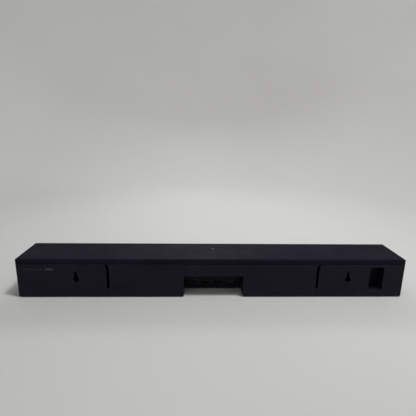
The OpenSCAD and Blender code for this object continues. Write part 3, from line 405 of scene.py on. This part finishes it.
def perforated_sheet(name, low, high, pitch, hole):
    """A flat steel sheet with a hexagonal field of round holes, closed on every side; it faces -Y."""
    across = pitch / math.sqrt(3)
    row = 1.5 * across
    columns = int((high[0] - low[0]) / pitch - 0.5)
    rows = int((high[2] - low[2] - 0.5 * across) / row)
    x0 = (low[0] + high[0]) / 2 - (columns - 0.5) * pitch / 2
    z0 = (low[2] + high[2]) / 2 - (rows - 1) * row / 2
    corner = [(across * math.sin(a), across * math.cos(a)) for a in (math.pi / 3 * k for k in range(6))]
    ring = [(hole / 2 * math.sin(a), hole / 2 * math.cos(a)) for a in (math.pi / 6 * k for k in range(12))]
    bm = bmesh.new()
    known = {}

    def point(x, y, z):
        key = (round(x * 1e6), round(y * 1e6), round(z * 1e6))
        if key not in known:
            known[key] = bm.verts.new((x, y, z))
        return known[key]

    def snapped(x, z, i, j):
        """A cell's corner, pulled out to the sheet's edge in the first and last rows and columns."""
        if (j == 0 and z < z0) or (j == rows - 1 and z > z0 + (rows - 1) * row):
            z = low[2] if j == 0 else high[2]
        centre = x0 + (i + 0.5 * (j % 2)) * pitch
        if i == 0 and j % 2 == 0 and x < centre - 0.1 * pitch:
            x = low[0]
        if i == columns - 1 and j % 2 == 1 and x > centre + 0.1 * pitch:
            x = high[0]
        return x, z

    # the plain half cell at the short end of each row
    for j in range(rows):
        cz, last = z0 + j * row, j == rows - 1
        edge, side = (x0, low[0]) if j % 2 else (x0 + (columns - 0.5) * pitch, high[0])
        half = [(edge, low[2] if j == 0 else cz - across / 2), (side, low[2] if j == 0 else cz - across),
                (side, high[2] if last else cz + across), (edge, high[2] if last else cz + across / 2)]
        for y in (low[1], high[1]):
            bm.faces.new([point(x, y, z) for x, z in half])
    for j in range(rows):
        for i in range(columns):
            cx, cz = x0 + (i + 0.5 * (j % 2)) * pitch, z0 + j * row
            outer = [snapped(cx + u, cz + w, i, j) for u, w in corner]
            for y, flip in ((low[1], False), (high[1], True)):
                for k in range(6):
                    a, b = outer[k], outer[(k + 1) % 6]
                    holes = [ring[2 * k], ring[2 * k + 1], ring[(2 * k + 2) % 12]]
                    near = [point(cx + u, y, cz + w) for u, w in holes]
                    fan = [point(a[0], y, a[1]), point(b[0], y, b[1]), near[2], near[1], near[0]]
                    fan = [v for n, v in enumerate(fan) if v not in fan[:n]]
                    bm.faces.new(fan if flip else fan[::-1])
            for k in range(12):
                (u, w), (p, q) = ring[k], ring[(k + 1) % 12]
                bm.faces.new([point(cx + u, low[1], cz + w), point(cx + u, high[1], cz + w),
                              point(cx + p, high[1], cz + q), point(cx + p, low[1], cz + q)][::-1])
    # side walls along the four edges, from the front face's open edges
    rim = [e for e in bm.edges if len(e.link_faces) == 1 and abs(e.verts[0].co.y - low[1]) < 1e-7
           and abs(e.verts[1].co.y - low[1]) < 1e-7]
    for edge in rim:
        a, b = (v.co for v in edge.verts)
        bm.faces.new([point(*a), point(*b), point(b.x, high[1], b.z), point(a.x, high[1], a.z)])
    bmesh.ops.recalc_face_normals(bm, faces=bm.faces)
    piece = from_bmesh(name, bm)
    smooth(piece.data, 30)
    return piece


def make_grille():
    """The folded steel tray: the CAD node's rim with a window cut out, and a perforated field in it."""
    low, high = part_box("front_grille")
    sheet_t, margin = 1.0 * MM, 5.0 * MM
    window_low = Vector((low.x + margin, low.y, low.z + margin))
    window_high = Vector((high.x - margin, low.y + sheet_t, high.z - margin))
    rim = softened("front_grille", 0.4, 3)
    corners = [(x, y, z) for x in (window_low.x, window_high.x) for y in (low.y - 3 * MM, low.y + 2 * MM)
               for z in (window_low.z, window_high.z)]
    cutter = new_mesh("cutter", corners, [(0, 1, 3, 2), (4, 6, 7, 5), (0, 4, 5, 1), (2, 3, 7, 6),
                                          (0, 2, 6, 4), (1, 5, 7, 3)])
    cut = rim.modifiers.new("window", "BOOLEAN")
    cut.object = cutter
    cut.solver = "EXACT"
    apply_modifiers(rim)
    bpy.data.objects.remove(cutter)
    inset, pitch, hole = 0.03 * MM, 4.2 * MM, 2.7 * MM
    field = perforated_sheet("grille_field", window_low + Vector((0, inset, 0)), window_high, pitch, hole)
    finish_piece(field, BODY_OF["front_grille"], SLOT_OF["front_grille"], "front_grille")


def make_grille_cloth():
    """Thin acoustic cloth drawn flat over the baffle, with a faint ripple on its face."""
    low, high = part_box("grille_cloth")
    columns, rows, ripple = 160, 12, 0.12 * MM
    verts = []
    for y, side in ((low.y, -1), (high.y, 1)):
        for j in range(rows + 1):
            for i in range(columns + 1):
                x = low.x + (high.x - low.x) * i / columns
                z = low.z + (high.z - low.z) * j / rows
                dip = ripple * math.sin(i * 0.9) * math.sin(j * 1.3) if side < 0 else 0
                verts.append((x, y + abs(dip), z))
    wide, count = columns + 1, (columns + 1) * (rows + 1)
    faces = []
    for j in range(rows):
        for i in range(columns):
            a = j * wide + i
            faces.append((a, a + 1, a + wide + 1, a + wide))
            faces.append((count + a, count + a + wide, count + a + wide + 1, count + a + 1))
    outline = list(range(columns)) + [columns + j * wide for j in range(rows)]
    outline += [rows * wide + columns - i for i in range(columns)] + [(rows - j) * wide for j in range(rows)]
    for n, a in enumerate(outline):
        b = outline[(n + 1) % len(outline)]
        faces.append((b, a, count + a, count + b))
    cloth = new_mesh("acoustic_cloth", verts, faces)
    smooth(cloth.data, 60)
    finish_piece(cloth, BODY_OF["grille_cloth"], SLOT_OF["grille_cloth"], "grille_cloth")


# ---------- surrounds and spiders, which stretch between the cabinet and a cone ----------

def stretching_ring(node, count):
    """A CAD ring cut into equal sectors, each closed along its cuts and kept as a piece of its own."""
    low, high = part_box(node)
    middle = (low + high) / 2
    source = NODES[node].data
    half = math.pi / count
    for k in range(count):
        a = 2 * half * k
        bm = bmesh.new()
        bm.from_mesh(source)
        bmesh.ops.remove_doubles(bm, verts=bm.verts, dist=WELD)
        for side in (-1, 1):
            normal = Vector((-side * math.sin(a + side * half), 0, side * math.cos(a + side * half)))
            made = bmesh.ops.bisect_plane(bm, geom=bm.verts[:] + bm.edges[:] + bm.faces[:], dist=1e-7,
                                          plane_co=middle, plane_no=normal, clear_outer=True)
            rim = [e for e in made["geom_cut"] if isinstance(e, bmesh.types.BMEdge)]
            bmesh.ops.triangle_fill(bm, edges=rim, use_beauty=True)
        bmesh.ops.delete(bm, geom=[v for v in bm.verts if not v.link_faces], context="VERTS")
        bmesh.ops.recalc_face_normals(bm, faces=bm.faces)
        piece = from_bmesh(f"{node}_sector_{k + 1}", bm)
        smooth(piece.data)
        piece.data.materials.append(MATERIALS[SLOT_OF[node]])
        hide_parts(node)
        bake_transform(piece)


# ---------- printed signs ----------

def flat_sign(name, outlines, turn, place, depth, body, ink):
    """Closed plates of a given depth from flat outlines, turned and then put in place."""
    bm = bmesh.new()
    for outline in outlines:
        face = bm.faces.new([bm.verts.new((x * MM, y * MM, 0)) for x, y in outline])
        made = bmesh.ops.extrude_face_region(bm, geom=[face])
        bmesh.ops.translate(bm, verts=[v for v in made["geom"] if isinstance(v, bmesh.types.BMVert)],
                            vec=(0, 0, depth * MM))
    bmesh.ops.recalc_face_normals(bm, faces=bm.faces)
    piece = from_bmesh(name, bm)
    piece.data.transform(Matrix.Translation(place) @ turn)
    piece.data.materials.append(MATERIALS[ink])
    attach(piece, body)


def bar(x0, y0, x1, y1, r=0.0, steps=5):
    """A rectangle's outline, its corners rounded by r."""
    if r <= 0:
        return [(x0, y0), (x1, y0), (x1, y1), (x0, y1)]
    line = []
    centres = ((x1 - r, y1 - r, 0), (x0 + r, y1 - r, 90), (x0 + r, y0 + r, 180), (x1 - r, y0 + r, 270))
    for cx, cy, start in centres:
        for i in range(steps + 1):
            a = math.radians(start + 90 * i / steps)
            line.append((cx + r * math.cos(a), cy + r * math.sin(a)))
    return line


def arc_band(r_out, r_in, start, end, steps=20):
    """A band between two arcs, from one angle in degrees to another."""
    angles = [math.radians(start + (end - start) * i / steps) for i in range(steps + 1)]
    return ([(r_out * math.cos(a), r_out * math.sin(a)) for a in angles]
            + [(r_in * math.cos(a), r_in * math.sin(a)) for a in reversed(angles)])


# each sign's outlines, in millimetres from the middle of its cap
SIGNS = {
    "power_button": [arc_band(2.35, 1.75, 118, 422), bar(-0.3, 0.65, 0.3, 3.1)],
    "source_button": [bar(-1.9, 1.35, 2.55, 1.95), bar(-1.9, -1.95, 2.55, -1.35), bar(1.95, -1.3, 2.55, 1.3),
                      [(-3.3, 0.3), (-0.85, 0.3), (-0.85, 0.9), (0.4, 0), (-0.85, -0.9), (-0.85, -0.3),
                       (-3.3, -0.3)]],
    "bluetooth_button": [arc_band(1.05, 0.55, -64, 64), arc_band(2.45, 1.95, -78, 78),
                         bar(-2.05, -0.65, -0.75, 0.65, 0.64)],
    "volume_down_button": [bar(-2.5, -0.42, 2.5, 0.42)],
    "volume_up_button": [bar(-2.5, -0.42, 2.5, 0.42), bar(-0.42, 0.45, 0.42, 2.5),
                         bar(-0.42, -2.5, 0.42, -0.45)],
}


def make_signs():
    """Paint in the sunk sign of each cap, plain printed marks on the rear panel, and a plain label below."""
    sunk, paint_t = 0.32 * MM, 0.2
    for node, outlines in SIGNS.items():
        low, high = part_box(node)
        place = Vector(((low.x + high.x) / 2, (low.y + high.y) / 2, high.z - sunk))
        # the power sign's pale ink is a painted highlight on its print; the other caps' signs are plain dark
        # print
        flat_sign(node + "_sign", outlines, Matrix(), place, paint_t, BODY_OF[node],
                  "highlight_pale_ink" if node == "power_button" else "row_ink")
    low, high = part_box("rear_panel")
    facing_back = Matrix.Rotation(math.radians(90), 4, "X") @ Matrix.Rotation(math.radians(180), 4, "Y")
    first_x, step, widths, marks_z, print_t = -312.0, 7.8, (6.4, 6.4, 6.4, 6.2), 50.5, 0.03
    marks = [bar(first_x + step * i, -0.7, first_x + step * i + w, 0.7, 0.5) for i, w in enumerate(widths)]
    marks.append(bar(-277.6, -1.6, -264.2, 1.6, 1.1))
    flat_sign("rear_marks", marks, facing_back, Vector((0, high.y - 0.02 * MM, marks_z * MM)), print_t,
              BODY_OF["rear_panel"], "dim_ink")
    low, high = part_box("bottom_panel")
    facing_down = Matrix.Rotation(math.radians(180), 4, "X")
    label_x, label_y, foil_t = -130 * MM, -4 * MM, 0.08
    flat_sign("base_label", [bar(-28, -11, 28, 11, 2)], facing_down,
              Vector((label_x, label_y, low.z + 0.03 * MM)), foil_t, BODY_OF["bottom_panel"], "label_foil")


make_camera()
MATERIALS = make_materials()
make_stage()
make_lights()
for cad_node, edge in SOFT_EDGES.items():
    softened(cad_node, edge)
make_grille()
make_grille_cloth()
make_signs()
for cone_side in ("left", "right"):
    for ring_kind, held_mm, sectors in (("surround", 25.2, 16), ("spider", 16.6, 8)):
        stretching_ring(f"{cone_side}_{ring_kind}", sectors)
for cad_node, cad_object in NODES.items():
    cad_object.data.materials.clear()
    cad_object.data.materials.append(MATERIALS[SLOT_OF[cad_node]])
